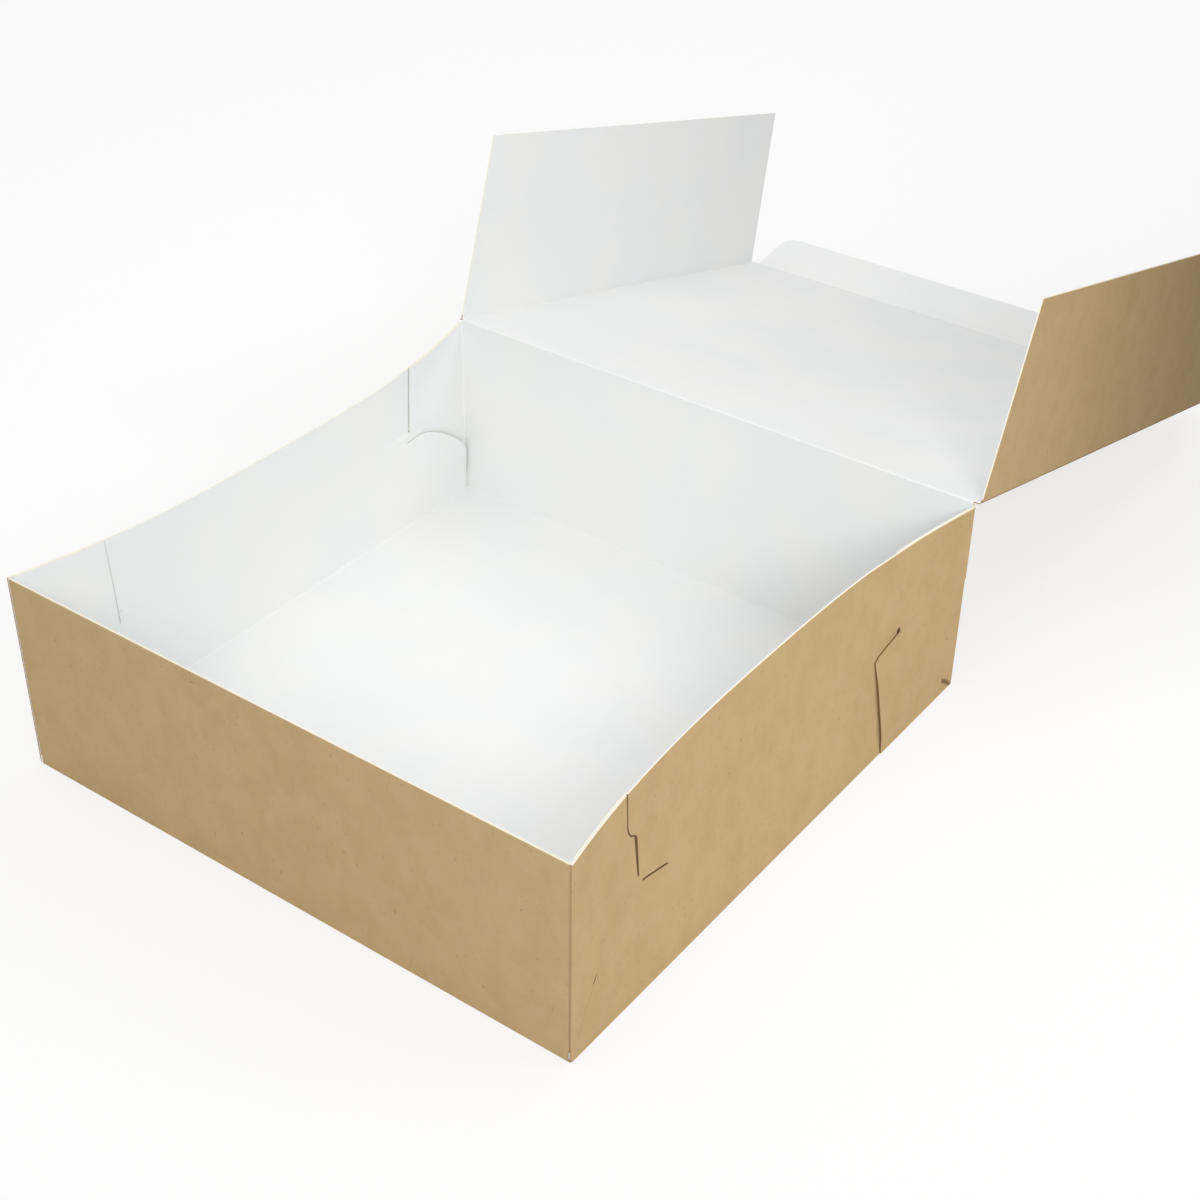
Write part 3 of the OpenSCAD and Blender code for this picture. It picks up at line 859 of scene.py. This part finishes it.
def lidCrease():
    # across the hinge, as (Y, Z): up the back wall, over its top and on to the lid
    c, s = math.cos(math.radians(lid["drop"])), math.sin(math.radians(lid["drop"]))
    skin = crease["proud"]
    onWhite = lambda t: (hingeY + t * c + skin * s, hingeZ - t * s + skin * c)
    onKraft = lambda t: (hingeY + t * c - (card + skin) * s, hingeZ - t * s - (card + skin) * c)
    top = tray["height"]
    whiteY, kraftY = halfD - card - skin, halfD + skin
    white = [(whiteY, top - 0.9), (whiteY, top - 0.4), (whiteY, top - 0.05),
             (whiteY + 0.12, top + 0.2), (whiteY + 0.4, top + 0.32),
             (hingeY - 0.2, hingeZ + 0.04), onWhite(0.1), onWhite(0.6), onWhite(1.2)]
    brown = [(kraftY, top - 0.9), (kraftY, top - 0.6), (kraftY, top - 0.4),
             (kraftY + 0.04, top - 0.34), (kraftY + 0.1, top - 0.32),
             (kraftY + 0.16, top - 0.32), onKraft(0.1), onKraft(0.6), onKraft(1.2)]
    # painted shade across the hinge's kraft side
    dark = [0, 0, 0.4, 0.8, 0.8, 0.8, 0.4, 0, 0]
    reach = baseHalf + layer - fold
    xs = np.linspace(-reach, reach, 61)
    layers = []
    for path in (brown, white):
        y, z = np.array(path).T
        layers.append(np.stack(np.broadcast_arrays(xs[:, None], y[None, ::-1], z[None, ::-1]), -1))
    piece = cardPiece("lidCrease", [sheet(*layers, "rawEdge", dark, 0.0)], None, [])
    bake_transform(piece)


lidCrease()
print("pieces made")

# Floor, backdrop and light

studio = {
    "world": 0.66,
    "floorGlow": 0.75,
    "lamps": {
        "top": {"place": (-0.1, 0.3, 2.0), "aim": (0.0, 0.12, 0.08), "size": 2.0, "power": 6.1},
        "near": {"place": (0.85, -0.75, 0.85), "aim": (0.0, -0.05, 0.05), "size": 0.5,
                 "power": 0.27, "spread": 70},
        "nearLid": {"place": (0.85, -0.75, 0.85), "aim": (-0.05, 0.35, 0.12), "size": 0.5,
                    "power": 0.72, "spread": 60},
        "rightBack": {"place": (1.1, 0.75, 1.1), "aim": (-0.05, 0.3, 0.1), "size": 0.5,
                      "power": 0.58, "spread": 70},
        "back": {"place": (0.0, 1.7, 1.7), "aim": (0.0, 0.4, 0.05), "size": 1.0,
                 "power": 0.67, "spread": 70},
    },
    # a dark screen to the right of the lid, out of the picture, which takes light off its far end
    "screen": {"near": (0.36, 0.33), "far": (0.27, 0.95), "height": 0.5},
}


def makeFloor():
    mesh = bpy.data.meshes.new("floor")
    size = 12.0
    corners = [(-size, -size, 0), (size, -size, 0), (size, size, 0), (-size, size, 0)]
    mesh.from_pydata(corners, [], [(0, 1, 2, 3)])
    floor = bpy.data.objects.new("floor", mesh)
    bpy.context.scene.collection.objects.link(floor)
    s = Shader("white_floor")
    paper = s.node("BsdfDiffuse", Color=colour(250, 250, 250))
    glow = s.node("Emission", Color=(1, 1, 1, 1), Strength=1.0)
    seen = s.node("LightPath", outlet=0)
    mixed = s.node("MixShader", i0=seen * studio["floorGlow"], i1=paper, i2=glow)
    s.links.new(mixed.socket, s.output.inputs[0])
    mesh.materials.append(s.material)


def makeWorld():
    world = bpy.data.worlds.new("studio")
    bpy.context.scene.world = world
    world.use_nodes = True
    tree = world.node_tree
    tree.nodes.clear()
    output = tree.nodes.new("ShaderNodeOutputWorld")
    back = tree.nodes.new("ShaderNodeBackground")
    path = tree.nodes.new("ShaderNodeLightPath")
    strength = tree.nodes.new("ShaderNodeMapRange")
    strength.inputs["To Min"].default_value = studio["world"]
    strength.inputs["To Max"].default_value = 1.0
    tree.links.new(path.outputs["Is Camera Ray"], strength.inputs["Value"])
    tree.links.new(strength.outputs[0], back.inputs["Strength"])
    back.inputs["Color"].default_value = (1, 1, 1, 1)
    tree.links.new(back.outputs[0], output.inputs[0])


def makeLamp(name, place, size, power, aim, spread=180):
    lamp = bpy.data.lights.new(name, "AREA")
    lamp.energy = power
    lamp.size = size
    lamp.spread = math.radians(spread)
    thing = bpy.data.objects.new(name, lamp)
    thing.location = place
    way = np.array(aim) - np.array(place)
    yaw = math.atan2(way[1], way[0])
    pitch = math.atan2(math.hypot(way[0], way[1]), -way[2])
    thing.rotation_euler = (pitch, 0, yaw - math.pi / 2)
    bpy.context.scene.collection.objects.link(thing)


def makeScreen(near, far, height):
    mesh = bpy.data.meshes.new("screen")
    corners = [(*near, 0), (*far, 0), (*far, height), (*near, height)]
    mesh.from_pydata(corners, [], [(0, 1, 2, 3)])
    screen = bpy.data.objects.new("screen", mesh)
    bpy.context.scene.collection.objects.link(screen)
    screen.visible_camera = False
    s = Shader("dark_cloth")
    cloth = s.node("BsdfDiffuse", Color=colour(40, 38, 36))
    s.links.new(cloth.socket, s.output.inputs[0])
    mesh.materials.append(s.material)


makeFloor()
makeWorld()
makeScreen(**studio["screen"])
for name, spec in studio["lamps"].items():
    makeLamp(name, **spec)

# The camera, where the photograph was taken from

camera = {
    "place": (0.4701, -0.5795, 0.5818),
    "forward": (-0.48283, 0.6683, -0.56591),
    "right": (0.80573, 0.59217, 0.01186),
    "lens": 60.21,
}


def makeCamera():
    forward = np.array(camera["forward"])
    forward /= np.linalg.norm(forward)
    right = np.array(camera["right"])
    right -= forward * (right @ forward)
    right /= np.linalg.norm(right)
    up = np.cross(right, forward)
    lens = bpy.data.cameras.new("camera")
    lens.lens = camera["lens"]
    lens.sensor_width = 36
    lens.clip_start = 0.01
    thing = bpy.data.objects.new("camera", lens)
    turn = Matrix((tuple(right), tuple(up), tuple(-forward))).transposed().to_4x4()
    thing.matrix_world = Matrix.Translation(camera["place"]) @ turn
    bpy.context.scene.collection.objects.link(thing)
    bpy.context.scene.camera = thing


makeCamera()
bpy.context.scene.view_settings.view_transform = "Standard"
print("studio ready")
